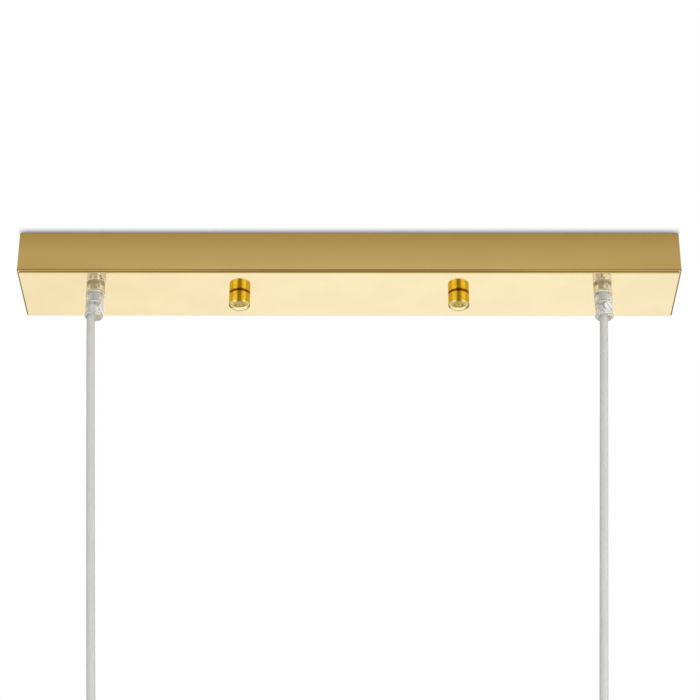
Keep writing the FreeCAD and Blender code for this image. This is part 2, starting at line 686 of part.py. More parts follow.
def core_points(name, core):
    """One core from the jacket's end over to the canopy's floor, behind the hanging screw and
    up into its pole. Worked out for the right side and mirrored for the left."""
    side = SIDES[name]
    turn = math.radians(CORE_TURNS[core])
    lane = CORE_LANE_Y[core]
    crest = CORE_CREST[core]
    row = pole_rows()[CORES.index(core)]
    start_x = GRIP_X + CORE_CIRCLE * math.cos(turn)
    start_y = CORE_CIRCLE * math.sin(turn)
    near_pole = side * TERMINAL_X + POLE_LENGTH / 2
    lying = FLOOR_INSIDE + CORE_DIAMETER / 2 + CORE_GAP
    points = [
        V(start_x, start_y, JACKET_TOP),
        V(start_x, start_y, JACKET_TOP + CORE_RISE),
        V(start_x - CREST_RUN, start_y * CREST_SPREAD + lane * CORE_SPREAD, crest),
        V(start_x - SHOULDER_RUN, lane * SHOULDER_SPREAD, crest - SHOULDER_DROP),
        V(start_x - DESCENT_RUN, lane, lying + DESCENT_LIFT),
        V(start_x - LYING_RUN, lane + LANE_WANDER, lying),
        V(STUD_X + STUD_PASS, lane, lying + STUD_LIFT),
        V(near_pole + APPROACH_RUN, (lane + row) / 2 + APPROACH_WANDER, lying + APPROACH_LIFT),
        V(near_pole + CLIMB_RUN, row + LANE_WANDER, TERMINAL_AXIS_Z - CLIMB_DROP),
        V(near_pole + ENTRY_RUN, row, TERMINAL_AXIS_Z),
        V(near_pole - CORE_IN_POLE, row, TERMINAL_AXIS_Z),
    ]
    if side == LEFT:
        points = [V(-point.x, point.y, point.z) for point in points]
    return points


# ---- Everything, one file to each node ----

saved("canopy_shell", canopy_shell())
saved("canopy_earth_stud", canopy_earth_stud())
saved("canopy_earth_tag", canopy_earth_tag())
saved("canopy_earth_nut", canopy_earth_nut())
saved("ceiling_bracket", ceiling_bracket())
saved("hanging_screws", hanging_screws())
saved("hanging_screw_nuts", hanging_nuts())
saved("terminal_housing", terminal_housing())
saved("terminal_inserts", terminal_inserts())
saved("terminal_screws", terminal_screws())
saved("bracket_earth_tag", bracket_earth_tag())
saved("bracket_earth_screw", earth_screw())
saved("grip_lock_washers", grip_washers())
saved("grip_lock_nuts", grip_nuts())
saved("canopy_earth_lead", tube("canopy_earth_lead", earth_lead_points(), EARTH_DIAMETER))

lower_body = turned_over(grip_body(-LOWER_CLAMP_ANGLE))
lower_screw = turned_over(clamp_screw(-LOWER_CLAMP_ANGLE))
for name, side in SIDES.items():
    saved(f"cap_nut_{name}", cap_nut(side))
    angle = CLAMP_ANGLES[name]
    saved(f"cord_grip_{name}", stood_at(grip_body(angle), side * GRIP_X, 0, FLOOR))
    saved(f"clamp_screw_{name}", stood_at(clamp_screw(angle), side * GRIP_X, 0, FLOOR))
    saved(f"lower_grip_{name}", stood_at(lower_body, side * LOWER_GRIP_X, 0, LOWER_SEAT))
    saved(f"lower_clamp_screw_{name}", stood_at(lower_screw, side * LOWER_GRIP_X, 0, LOWER_SEAT))
    saved(f"cord_{name}", tube(f"cord_{name}", cord_points(name), CORD_DIAMETER))
    for core in CORES:
        node = f"{core}_core_{name}"
        saved(node, tube(node, core_points(name, core), CORE_DIAMETER))

lowered = THREAD_PITCH * CANOPY_TURNS
print(f"hanging screw {SCREW_LENGTH:.1f}, canopy lowers {lowered:.1f} in {CANOPY_TURNS} turns")
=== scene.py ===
import json
import math

import bmesh
import bpy
from mathutils import Matrix, Vector

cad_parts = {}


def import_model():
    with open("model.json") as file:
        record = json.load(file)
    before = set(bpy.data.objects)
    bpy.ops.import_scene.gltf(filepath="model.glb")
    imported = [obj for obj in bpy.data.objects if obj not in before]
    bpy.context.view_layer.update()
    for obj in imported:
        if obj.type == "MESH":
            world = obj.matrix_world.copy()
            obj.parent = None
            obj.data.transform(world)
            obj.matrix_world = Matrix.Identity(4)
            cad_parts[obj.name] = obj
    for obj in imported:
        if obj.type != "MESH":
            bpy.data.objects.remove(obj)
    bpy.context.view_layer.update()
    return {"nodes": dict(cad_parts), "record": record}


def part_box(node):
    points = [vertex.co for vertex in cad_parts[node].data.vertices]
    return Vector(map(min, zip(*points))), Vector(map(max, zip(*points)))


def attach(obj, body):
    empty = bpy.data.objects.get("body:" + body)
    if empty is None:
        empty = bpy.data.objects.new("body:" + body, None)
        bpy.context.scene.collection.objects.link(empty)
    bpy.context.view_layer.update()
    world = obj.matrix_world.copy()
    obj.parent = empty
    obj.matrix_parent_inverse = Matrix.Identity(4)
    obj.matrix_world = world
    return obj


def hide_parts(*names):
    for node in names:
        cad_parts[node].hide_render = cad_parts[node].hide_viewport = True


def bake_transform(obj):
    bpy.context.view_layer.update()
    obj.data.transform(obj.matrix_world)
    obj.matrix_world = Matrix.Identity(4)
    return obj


# Looks of the linear pendant's ceiling end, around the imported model. Metres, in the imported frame:
# origin on the ceiling, X along the canopy, -Y towards the viewer, Z up. Colours are linear.

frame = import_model()

MM = 0.001
SIDES = {"left": -1, "right": 1}


def middle(node):
    low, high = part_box(node)
    return (low + high) / 2


def size(node):
    low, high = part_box(node)
    return high - low


CANOPY = size("canopy_shell")
FLOOR_Z = -CANOPY.z                  # the canopy's underside
NUT_FOOT = 1.1 * MM                  # the cap nut's undercut, from the underside down
GRIP_X = abs(middle("cord_grip_right").x)
GRIP_RADIUS = size("cord_grip_right").x / 2
COLLAR_HIGH = 10.2 * MM              # the grip's solid collar, from the underside down
COLLAR_EDGE_Z = FLOOR_Z - COLLAR_HIGH
CUP_EDGE_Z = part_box("cord_grip_right")[0].z

# ---- Camera: fitted to the edges of the canopy in the 700 x 700 photograph ----

IMAGE_SIDE = 700
FOCAL_PIXELS = 2288.494
CAMERA_AT = Vector((7.97, -1480.34, -961.83)) * MM
PITCH_UP = math.radians(30.677)
YAW = math.radians(-0.2775)
ROLL = math.radians(0.1788)
CLIP_NEAR, CLIP_FAR = 0.05, 50


def photo_camera():
    data = bpy.data.cameras.new("photo_camera")
    camera = bpy.data.objects.new("photo_camera", data)
    bpy.context.scene.collection.objects.link(camera)
    forward = Vector((
        math.sin(YAW) * math.cos(PITCH_UP), math.cos(YAW) * math.cos(PITCH_UP), math.sin(PITCH_UP),
    ))
    level = Vector((math.cos(YAW), -math.sin(YAW), 0))
    above = level.cross(forward)
    right = level * math.cos(ROLL) + above * math.sin(ROLL)
    up = above * math.cos(ROLL) - level * math.sin(ROLL)
    turned = Matrix((right, up, -forward)).transposed().to_4x4()
    camera.matrix_world = Matrix.Translation(CAMERA_AT) @ turned
    data.lens = FOCAL_PIXELS / IMAGE_SIDE * data.sensor_width
    data.clip_start = CLIP_NEAR
    data.clip_end = CLIP_FAR
    bpy.context.scene.camera = camera


photo_camera()

# ---- Node helpers ----


def link(tree, source, target):
    tree.links.new(source, target)


def set_inputs(node, **values):
    for name, value in values.items():
        node.inputs[name.replace("_", " ")].default_value = value


def new_material(name):
    material = bpy.data.materials.new(name)
    material.use_nodes = True
    tree = material.node_tree
    return material, tree, tree.nodes["Principled BSDF"]


def emptied_material(name):
    material = bpy.data.materials.new(name)
    material.use_nodes = True
    material.node_tree.nodes.clear()
    return material, material.node_tree


def split_axes(tree, source):
    """X, Y and Z of a vector or colour."""
    split = tree.nodes.new("ShaderNodeSeparateXYZ")
    link(tree, source, split.inputs[0])
    return split.outputs


def coordinates(tree, kind):
    return tree.nodes.new("ShaderNodeTexCoord").outputs[kind]


def math_node(tree, operation, first, second=0.0):
    node = tree.nodes.new("ShaderNodeMath")
    node.operation = operation
    for socket, value in zip(node.inputs, (first, second)):
        if isinstance(value, (int, float)):
            socket.default_value = value
        else:
            link(tree, value, socket)
    return node.outputs[0]


def map_range(tree, value, low, high, to_low=0.0, to_high=1.0, smooth=True):
    node = tree.nodes.new("ShaderNodeMapRange")
    node.interpolation_type = "SMOOTHSTEP" if smooth else "LINEAR"
    link(tree, value, node.inputs["Value"])
    set_inputs(node, From_Min=low, From_Max=high, To_Min=to_low, To_Max=to_high)
    return node.outputs["Result"]


def ramp(tree, value, stops):
    """Colour ramp of (position, colour) stops."""
    node = tree.nodes.new("ShaderNodeValToRGB")
    elements = node.color_ramp.elements
    while len(elements) < len(stops):
        elements.new(0.5)
    for element, (position, colour) in zip(elements, stops):
        element.position = position
        element.color = (*colour, 1)
    link(tree, value, node.inputs["Fac"])
    return node.outputs["Color"]


def mixed(tree, factor, first, second, blend="MIX"):
    node = tree.nodes.new("ShaderNodeMix")
    node.data_type = "RGBA"
    node.blend_type = blend
    sockets = (node.inputs[0], node.inputs[6], node.inputs[7])
    for socket, value in zip(sockets, (factor, first, second)):
        if isinstance(value, float):
            socket.default_value = value
        elif isinstance(value, tuple):
            socket.default_value = (*value, 1)
        else:
            link(tree, value, socket)
    return node.outputs[2]


def mixed_shader(tree, factor, first, second):
    node = tree.nodes.new("ShaderNodeMixShader")
    for socket, source in zip(node.inputs, (factor, first, second)):
        link(tree, source, socket)
    return node.outputs[0]


def window(tree, values, spans):
    """1 where every value lies within its span of (from, full from, full to, to)."""
    inside = None
    for value, (start, full_from, full_to, end) in zip(values, spans):
        both = math_node(
            tree, "MULTIPLY", map_range(tree, value, start, full_from),
            map_range(tree, value, end, full_to),
        )
        inside = both if inside is None else math_node(tree, "MULTIPLY", inside, both)
    return inside


def noise(tree, scale, detail=3.0, roughness=0.5, stretch=(1, 1, 1)):
    """Noise in the object's own coordinates, in features per metre."""
    mapping = tree.nodes.new("ShaderNodeMapping")
    set_inputs(mapping, Scale=stretch)
    link(tree, coordinates(tree, "Object"), mapping.inputs["Vector"])
    node = tree.nodes.new("ShaderNodeTexNoise")
    set_inputs(node, Scale=scale, Detail=detail, Roughness=roughness)
    link(tree, mapping.outputs["Vector"], node.inputs["Vector"])
    return node.outputs["Fac"]


def bump(tree, shader, height, distance, strength, after=None):
    node = tree.nodes.new("ShaderNodeBump")
    set_inputs(node, Strength=strength, Distance=distance)
    link(tree, height, node.inputs["Height"])
    if after is not None:
        link(tree, after, node.inputs["Normal"])
    link(tree, node.outputs["Normal"], shader.inputs["Normal"])
    return node.outputs["Normal"]


def dimmer(colour, share):
    return tuple(channel * share for channel in colour)


# ---- Materials ----

BRASS_SIDE = (0.93, 0.69, 0.33)
# painted reflection: the paler brass of the underside
BRASS_UNDER_PAINTED_PALE = (0.985, 0.828, 0.515)
GOLD_SIDE = ((0.97, 0.73, 0.07), (0.84, 0.55, 0.02))
# painted highlight: the pale gold of the dome
GOLD_DOME_PAINTED_HIGHLIGHT = ((1.0, 0.93, 0.53), (0.95, 0.86, 0.43))
# painted shade in the nut's undercut foot
GOLD_FOOT_PAINTED_SHADE = (0.20, 0.07, 0.005)
ZINC = (0.74, 0.75, 0.76)
TINNED = (0.76, 0.75, 0.72)
TERMINAL_BRASS = (0.82, 0.66, 0.36)
TERMINAL_WHITE = (0.80, 0.79, 0.75)
SPANGLE = ((0.50, 0.52, 0.54), (0.68, 0.69, 0.70))
NYLON = (0.96, 0.96, 0.955)
NYLON_FROSTED = (0.82, 0.82, 0.82)
JACKET = ((0.70, 0.70, 0.69), (0.62, 0.62, 0.61))
# painted shade on the cord inside the grips' collars
JACKET_PAINTED_SHADE_IN_COLLAR = (0.22, 0.23, 0.20)
STRANDS = ((0.60, 0.59, 0.57), (0.86, 0.85, 0.82))
EARTH_GREEN, EARTH_YELLOW = (0.05, 0.32, 0.07), (0.80, 0.68, 0.06)
EARTH_GRAIN = (0.02, 0.1, 0.02)
# the milky white of the painted highlight rings on the grips
MILK = ((0.97, 0.97, 0.965), (0.84, 0.84, 0.83))


def polished_brass():
    """Lacquered mirror brass, faintly clouded and waved; the underside is painted paler, a painted
    reflection of the bright surroundings below.
    """
    material, tree, shader = new_material("polished_brass")
    set_inputs(shader, Metallic=1.0)
    facing = split_axes(tree, coordinates(tree, "Normal"))["Z"]
    # painted reflection: faces turned down take the paler brass colour
    painted_light_facing_down = map_range(tree, facing, -0.55, -0.97)
    clouds = map_range(tree, noise(tree, scale=26, detail=4.0), 0.3, 0.7)
    side = mixed(tree, clouds, BRASS_SIDE, dimmer(BRASS_SIDE, 0.985))
    under = mixed(tree, clouds, BRASS_UNDER_PAINTED_PALE, dimmer(BRASS_UNDER_PAINTED_PALE, 0.96))
    link(tree, mixed(tree, painted_light_facing_down, side, under), shader.inputs["Base Color"])
    rubbed = noise(tree, scale=900, detail=6.0, roughness=0.65, stretch=(0.15, 1, 1))
    rough = map_range(tree, rubbed, 0.25, 0.8, to_low=0.045, to_high=0.10)
    link(tree, rough, shader.inputs["Roughness"])
    waves = noise(tree, scale=9, detail=2.0)
    waved = bump(tree, shader, waves, distance=4 * MM, strength=0.03)
    bump(tree, shader, rubbed, distance=0.02 * MM, strength=0.25, after=waved)
    return material


def gold_brass():
    """Turned gold brass: deep gold on the side, a painted pale highlight on the dome, and painted shade
    darkening the undercut foot.
    """
    material, tree, shader = new_material("gold_brass")
    set_inputs(shader, Metallic=1.0)
    facing = split_axes(tree, coordinates(tree, "Normal"))["Z"]
    # painted highlight: faces turned down, the dome, take the pale gold
    painted_light_facing_down = map_range(tree, facing, -0.4, -0.9)
    height = split_axes(tree, coordinates(tree, "Object"))["Z"]
    worn = noise(tree, scale=620, detail=5.0)
    blotch = map_range(tree, worn, 0.30, 0.70)
    whole = mixed(tree, painted_light_facing_down, mixed(tree, blotch, *GOLD_SIDE), mixed(tree, blotch, *GOLD_DOME_PAINTED_HIGHLIGHT))
    # painted shade: the undercut foot next to the canopy is darkened
    foot = map_range(tree, height, FLOOR_Z - NUT_FOOT, FLOOR_Z - 0.8 * NUT_FOOT)
    link(tree, mixed(tree, foot, whole, GOLD_FOOT_PAINTED_SHADE), shader.inputs["Base Color"])
    rough = map_range(tree, worn, 0.3, 0.75, to_low=0.07, to_high=0.19)
    link(tree, rough, shader.inputs["Roughness"])
    rings = noise(tree, scale=2600, detail=2.0, stretch=(0.02, 0.02, 1))
    turned = bump(tree, shader, rings, distance=0.03 * MM, strength=0.3)
    bump(tree, shader, worn, distance=0.12 * MM, strength=0.55, after=turned)
    return material


def bright_metal(name, colour, rough):
    """Plated or plain metal with a fine speckle."""
    material, tree, shader = new_material(name)
    set_inputs(shader, Metallic=1.0)
    speckle = noise(tree, scale=1800, detail=5.0, roughness=0.6)
    link(tree, mixed(tree, speckle, colour, dimmer(colour, 0.82)), shader.inputs["Base Color"])
    speckled = map_range(tree, speckle, 0.25, 0.75, to_low=rough * 0.7, to_high=rough * 1.4)
    link(tree, speckled, shader.inputs["Roughness"])
    bump(tree, shader, speckle, distance=0.04 * MM, strength=0.3)
    return material


def galvanised():
    """Hot-dip spangle: flakes of differing tone and roughness."""
    material, tree, shader = new_material("galvanised_steel")
    set_inputs(shader, Metallic=0.9)
    flakes = tree.nodes.new("ShaderNodeTexVoronoi")
    set_inputs(flakes, Scale=170)
    link(tree, coordinates(tree, "Object"), flakes.inputs["Vector"])
    tone, dullness, height = split_axes(tree, flakes.outputs["Color"])
    link(tree, mixed(tree, tone, *SPANGLE), shader.inputs["Base Color"])
    rough = map_range(tree, dullness, 0, 1, to_low=0.32, to_high=0.52)
    link(tree, rough, shader.inputs["Roughness"])
    bump(tree, shader, height, distance=0.03 * MM, strength=0.4)
    return material


def in_collar(tree):
    """1 at the heights of the upper grips' collars, which are solid and so less clear; the cord jacket
    is darkened there as painted shade.
    """
    height = split_axes(tree, coordinates(tree, "Object"))["Z"]
    span = (COLLAR_EDGE_Z - 0.3 * MM, COLLAR_EDGE_Z, FLOOR_Z, FLOOR_Z + 1 * MM)
    return window(tree, [height], [span])


def clear_nylon(name, rough, through, tint):
    """Clear moulded plastic with upright flow marks, milky where it is seen edge on as a painted edge
    highlight.
    """
    material, tree, shader = new_material(name)
    set_inputs(shader, Transmission_Weight=through, IOR=1.5)
    flow = noise(tree, scale=420, detail=4.0, stretch=(1, 1, 0.2))
    tone = mixed(tree, flow, tint, dimmer(tint, 0.88))
    link(tree, tone, shader.inputs["Base Color"])
    marked = map_range(tree, flow, 0.25, 0.75, to_low=rough * 0.5, to_high=rough * 1.6)
    link(tree, marked, shader.inputs["Roughness"])
    raised = bump(tree, shader, flow, distance=0.08 * MM, strength=0.25)
    milky = tree.nodes.new("ShaderNodeBsdfPrincipled")
    set_inputs(milky, Roughness=0.15)
    link(tree, tone, milky.inputs["Base Color"])
    link(tree, raised, milky.inputs["Normal"])
    # painted highlight: a milky white mix where the plastic is seen edge on
    edge = tree.nodes.new("ShaderNodeLayerWeight")
    set_inputs(edge, Blend=0.5)
    share = map_range(tree, edge.outputs["Facing"], 0.40, 0.95, to_high=0.90)
    share = math_node(tree, "MAXIMUM", share, math_node(tree, "MULTIPLY", in_collar(tree), 0.09))
    # painted shade: less of the milk, so darker grips, in what the brass mirrors
    path = tree.nodes.new("ShaderNodeLightPath")
    mirror_painted_shade = map_range(tree, path.outputs["Glossy Depth"], 0, 1, to_low=1.0, to_high=0.2)
    share = math_node(tree, "MULTIPLY", share, mirror_painted_shade)
    both = mixed_shader(tree, share, shader.outputs[0], milky.outputs[0])
    # lamps light what is inside the clear plastic
    clear = tree.nodes.new("ShaderNodeBsdfTransparent")
    lit_through = math_node(tree, "MULTIPLY", path.outputs["Is Shadow Ray"], 0.85)
    whole = mixed_shader(tree, lit_through, both, clear.outputs[0])
    link(tree, whole, tree.nodes["Material Output"].inputs["Surface"])
    return material


def clear_jacket():
    """Translucent cord jacket with drawn-out haze, darkened inside the collars by painted shade."""
    material, tree, shader = new_material("clear_jacket")
    set_inputs(shader, Transmission_Weight=0.35, IOR=1.45)
    haze = noise(tree, scale=260, detail=4.0, stretch=(1, 1, 0.08))
    # painted shade: the jacket goes dark inside the collars
    tone = mixed(tree, in_collar(tree), mixed(tree, haze, *JACKET), JACKET_PAINTED_SHADE_IN_COLLAR)
    link(tree, tone, shader.inputs["Base Color"])
    rough = map_range(tree, haze, 0.3, 0.7, to_low=0.10, to_high=0.22)
    link(tree, rough, shader.inputs["Roughness"])
    bump(tree, shader, haze, distance=0.1 * MM, strength=0.2)
    return material


def tinned_core():
    """Clear insulation, drawn as a coat, over fine tinned strands laid at an angle."""
    material, tree, shader = new_material("clear_core")
    set_inputs(shader, Metallic=0.35, Roughness=0.32, Coat_Weight=1.0, Coat_Roughness=0.08)
    mapping = tree.nodes.new("ShaderNodeMapping")
    set_inputs(mapping, Rotation=(0, 0, math.radians(28)))
    link(tree, coordinates(tree, "UV"), mapping.inputs["Vector"])
    strands = tree.nodes.new("ShaderNodeTexWave")
    set_inputs(strands, Scale=3.0)
    link(tree, mapping.outputs["Vector"], strands.inputs["Vector"])
    link(tree, mixed(tree, strands.outputs["Fac"], *STRANDS), shader.inputs["Base Color"])
    bump(tree, shader, strands.outputs["Fac"], distance=0.08 * MM, strength=0.5)
    return material


def terminal_plastic():
    material, tree, shader = new_material("terminal_plastic")
    set_inputs(shader, Subsurface_Weight=0.3, Subsurface_Scale=2 * MM)
    grain = noise(tree, scale=1500, detail=4.0)
    tone = mixed(tree, grain, TERMINAL_WHITE, dimmer(TERMINAL_WHITE, 0.9))
    link(tree, tone, shader.inputs["Base Color"])
    rough = map_range(tree, grain, 0.3, 0.7, to_low=0.323, to_high=0.456)
    link(tree, rough, shader.inputs["Roughness"])
    bump(tree, shader, grain, distance=0.05 * MM, strength=0.3)
    return material


def green_yellow():
    """Green insulation with one yellow stripe winding along it."""
    material, tree, shader = new_material("green_yellow_insulation")
    around, along, _ = split_axes(tree, coordinates(tree, "UV"))
    turn = math_node(tree, "FRACT", math_node(tree, "ADD", around, along))
    stripe = math_node(tree, "LESS_THAN", turn, 0.34)
    grain = noise(tree, scale=2000)
    speckle = math_node(tree, "MULTIPLY", grain, 0.3)
    tone = mixed(tree, speckle, mixed(tree, stripe, EARTH_GREEN, EARTH_YELLOW), EARTH_GRAIN)
    link(tree, tone, shader.inputs["Base Color"])
    rough = map_range(tree, grain, 0.3, 0.7, to_low=0.28, to_high=0.42)
    link(tree, rough, shader.inputs["Roughness"])
    return material


def painted_highlight_bead(name, through):
    """Milky ring along a grip's edge, a painted highlight."""
    material, tree, shader = new_material(name)
    set_inputs(shader, Transmission_Weight=through)
    flow = noise(tree, scale=500)
    link(tree, mixed(tree, flow, *MILK), shader.inputs["Base Color"])
    rough = map_range(tree, flow, 0.3, 0.7, to_low=0.08, to_high=0.2)
    link(tree, rough, shader.inputs["Roughness"])
    return material


MATERIALS = {
    "polished_brass": polished_brass(),
    "gold_brass": gold_brass(),
    "galvanised_steel": galvanised(),
    "zinc_steel": bright_metal("zinc_steel", ZINC, rough=0.22),
    "tinned_copper": bright_metal("tinned_copper", TINNED, rough=0.30),
    "clear_nylon": clear_nylon("clear_nylon", rough=0.04, through=0.90, tint=NYLON),
    "clear_jacket": clear_jacket(),
    "terminal_plastic": terminal_plastic(),
    "terminal_brass": bright_metal("terminal_brass", TERMINAL_BRASS, rough=0.28),
    "clear_core": tinned_core(),
    "green_yellow_insulation": green_yellow(),
}
FROSTED = clear_nylon("frosted_nylon", rough=0.22, through=0.35, tint=NYLON_FROSTED)


def dress_nodes():
    """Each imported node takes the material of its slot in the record."""
    slots = {row["node"]: row["material_slot"] for row in frame["record"]["subparts"]}
    for name, node in frame["nodes"].items():
        material = FROSTED if "clamp_screw" in name else MATERIALS[slots[name]]
        node.data.materials.clear()
        node.data.materials.append(material)


dress_nodes()

# ---- Cords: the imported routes, each with one more point near either end of its straight run, and
# with the upper points moved by at most about 1 mm to the cord's line in the photograph ----

CORD_DIAMETER = 6.25 * MM
CORD_ROUTES = {
    "left": [
        (-0.1938, 0, -0.0245), (-0.1938, 0, -0.0400), (-0.1962, 0.000875, -0.0500),
        (-0.1960, 0.000915, -0.0602), (-0.1776, 0.00211, -0.3636),
        (-0.1765, 0.00215, -0.3738), (-0.1765, 0, -0.3838), (-0.1765, 0, -0.3953),
    ],
    "right": [
        (0.1938, 0, -0.0245), (0.1938, 0, -0.0400), (0.1935, 0.001949, -0.0500),
        (0.19325, 0.001955, -0.0602), (0.1768, 0.002144, -0.3636),
        (0.1765, 0.00215, -0.3738), (0.1765, 0, -0.3838), (0.1765, 0, -0.3953),
    ],
}
CURVE_STEPS = 16                    # along each stretch of a cord
CURVE_ROUNDNESS = 7                 # Blender's bevel resolution, around it
CORE_STEP = 3 * MM
CORE_SIDES = 14
CORE_CIRCLE = 1.2 * MM
CORE_RADIUS = 0.95 * MM
CORE_TURNS = {"live": -90.0, "earth": 150.0, "neutral": 30.0}
CORE_LAY = math.radians(150)        # how far the cores wind round each other down the cord


def new_piece(name, mesh, material=None):
    piece = bpy.data.objects.new(name, mesh)
    bpy.context.scene.collection.objects.link(piece)
    if material is not None:
        mesh.materials.append(material)
    return piece


def mesh_from(work, name):
    mesh = bpy.data.meshes.new(name)
    work.to_mesh(mesh)
    work.free()
    return mesh


def nurbs_curve(name, points):
    data = bpy.data.curves.new(name, "CURVE")
    data.dimensions = "3D"
    data.resolution_u = CURVE_STEPS
    spline = data.splines.new("NURBS")
    spline.points.add(len(points) - 1)
    for point, place in zip(spline.points, points):
        point.co = (*place, 1)
    spline.order_u = 3
    spline.use_endpoint_u = True
    curve = bpy.data.objects.new(name, data)
    bpy.context.scene.collection.objects.link(curve)
    return curve


def centreline(points):
    """The points of a route's own smooth line."""
    curve = nurbs_curve("route", points)
    mesh = bpy.data.meshes.new_from_object(curve)
    line = [vertex.co.copy() for vertex in mesh.vertices]
    bpy.data.meshes.remove(mesh)
    bpy.data.objects.remove(curve)
    return line


def lengths_along(line):
    lengths = [0.0]
    for before, after in zip(line, line[1:]):
        lengths.append(lengths[-1] + (after - before).length)
    return lengths


def resampled(line, step):
    """The same line at an even step."""
    lengths = lengths_along(line)
    count = max(2, round(lengths[-1] / step))
    found = []
    at = 0
    for number in range(count + 1):
        along = lengths[-1] * number / count
        while at < len(lengths) - 2 and lengths[at + 1] < along:
            at += 1
        share = (along - lengths[at]) / (lengths[at + 1] - lengths[at])
        found.append(line[at].lerp(line[at + 1], min(max(share, 0), 1)))
    return found


def frames_along(line):
    """Two directions across the line at each point, carried along without twist from X."""
    across = Vector((1, 0, 0))
    found = []
    for number in range(len(line)):
        before = line[max(number - 1, 0)]
        after = line[min(number + 1, len(line) - 1)]
        tangent = (after - before).normalized()
        across = (across - tangent * across.dot(tangent)).normalized()
        found.append((across.copy(), tangent.cross(across)))
    return found


def tube(name, line, radius, sides, material):
    """Round tube with flat closed ends and a map of turns and diameters along it."""
    work = bmesh.new()
    turns = work.loops.layers.uv.new("UVMap")
    along = lengths_along(line)
    rings = []
    for centre, (first, second) in zip(line, frames_along(line)):
        ring = []
        for side in range(sides):
            turn = 2 * math.pi * side / sides
            outward = first * math.cos(turn) + second * math.sin(turn)
            ring.append(work.verts.new(centre + outward * radius))
        rings.append(ring)
    for number, (ring, following) in enumerate(zip(rings, rings[1:])):
        for side in range(sides):
            beside = (side + 1) % sides
            face = work.faces.new((ring[side], ring[beside], following[beside], following[side]))
            face.smooth = True
            places = ((side, number), (side + 1, number), (side + 1, number + 1), (side, number + 1))
            for loop, (around, step) in zip(face.loops, places):
                loop[turns].uv = (around / sides, along[step] / (2 * radius))
    work.faces.new(list(reversed(rings[0])))
    work.faces.new(rings[-1])
    bmesh.ops.recalc_face_normals(work, faces=work.faces)
    return new_piece(name, mesh_from(work, name), material)


def cord_cores(side):
    """The three cores inside a clear jacket."""
    line = resampled(centreline(CORD_ROUTES[side]), CORE_STEP)
    made = []
    for core, start in CORE_TURNS.items():
        route = []
        for number, (centre, (first, second)) in enumerate(zip(line, frames_along(line))):
            turn = math.radians(start) + CORE_LAY * number / (len(line) - 1)
            # the line runs down, so the second direction is -Y, and minus it is +Y
            outward = first * math.cos(turn) - second * math.sin(turn)
            route.append(centre + outward * CORE_CIRCLE)
        piece = tube(f"{core}_in_cord_{side}", route, CORE_RADIUS, CORE_SIDES, MATERIALS["clear_core"])
        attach(piece, "canopy")
        made.append(piece)
    return made


def cord(side):
    curve = nurbs_curve(f"cord_jacket_{side}", CORD_ROUTES[side])
    data = curve.data
    data.bevel_depth = CORD_DIAMETER / 2
    data.bevel_resolution = CURVE_ROUNDNESS
    data.use_fill_caps = True
    data.materials.append(MATERIALS["clear_jacket"])
    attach(curve, "canopy")
    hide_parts(f"cord_{side}")
    cord_cores(side)


for side in SIDES:
    cord(side)

# ---- Painted highlights: milky rings along the edges of the cord grips ----

BEAD_SIDES = 10
BEAD_STEPS = 72
PAINTED_HIGHLIGHT_BEADS = (
    # name, height, radius of the ring, radius of the bead, material
    ("foot", FLOOR_Z - 0.45 * MM, GRIP_RADIUS - 0.20 * MM, 0.34 * MM,
     painted_highlight_bead("painted_highlight_bead", through=0.1)),
    ("collar", COLLAR_EDGE_Z + 0.45 * MM, GRIP_RADIUS - 0.24 * MM, 0.32 * MM,
     painted_highlight_bead("thin_painted_highlight_bead", through=0.25)),
    ("lip", CUP_EDGE_Z + 0.38 * MM, GRIP_RADIUS - 0.85 * MM, 0.46 * MM,
     painted_highlight_bead("lip_painted_highlight_bead", through=0.55)),
)


def bead(name, centre_x, height, radius, thickness, material):
    """A round ring, level, about the grip's axis."""
    work = bmesh.new()
    centre = Vector((centre_x, 0, height))
    rings = []
    for step in range(BEAD_STEPS):
        turn = 2 * math.pi * step / BEAD_STEPS
        out = Vector((math.cos(turn), math.sin(turn), 0))
        ring = []
        for number in range(BEAD_SIDES):
            angle = 2 * math.pi * number / BEAD_SIDES
            raised = Vector((0, 0, thickness * math.sin(angle)))
            ring.append(work.verts.new(
                centre + out * (radius + thickness * math.cos(angle)) + raised
            ))
        rings.append(ring)
    for ring, following in zip(rings, rings[1:] + rings[:1]):
        for number in range(BEAD_SIDES):
            beside = (number + 1) % BEAD_SIDES
            corners = (ring[number], following[number], following[beside], ring[beside])
            work.faces.new(corners).smooth = True
    bmesh.ops.recalc_face_normals(work, faces=work.faces)
    piece = new_piece(name, mesh_from(work, name), material)
    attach(piece, "canopy")


for side, sign in SIDES.items():
    for edge, height, radius, thickness, material in PAINTED_HIGHLIGHT_BEADS:
        bead(f"{edge}_bead_{side}", sign * GRIP_X, height, radius, thickness, material)

# ---- Leads inside the canopy, cut into short lengths so that they can bend ----

X_AXIS, Z_AXIS = 0, 2
SECTION_STEP = 3 * MM


def on_axis(axis, distance):
    return tuple(distance if number == axis else 0 for number in range(3))


def lead(name, slot, axis):
    """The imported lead's own mesh, cut into short lengths so that it can bend."""
    mesh = frame["nodes"][name].data.copy()
    mesh.materials.clear()
    work = bmesh.new()
    work.from_mesh(mesh)
    low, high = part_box(name)
    for number in range(1, int((high - low)[axis] / SECTION_STEP)):
        place = low.copy()
        place[axis] += number * SECTION_STEP
        everything = work.verts[:] + work.edges[:] + work.faces[:]
        bmesh.ops.bisect_plane(
            work, geom=everything, plane_co=place, plane_no=on_axis(axis, 1), dist=1e-7,
        )
    for face in work.faces:
        face.smooth = True
    work.to_mesh(mesh)
    work.free()
    piece = new_piece(f"{name}_bending", mesh, MATERIALS[slot])
    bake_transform(piece)
    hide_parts(name)


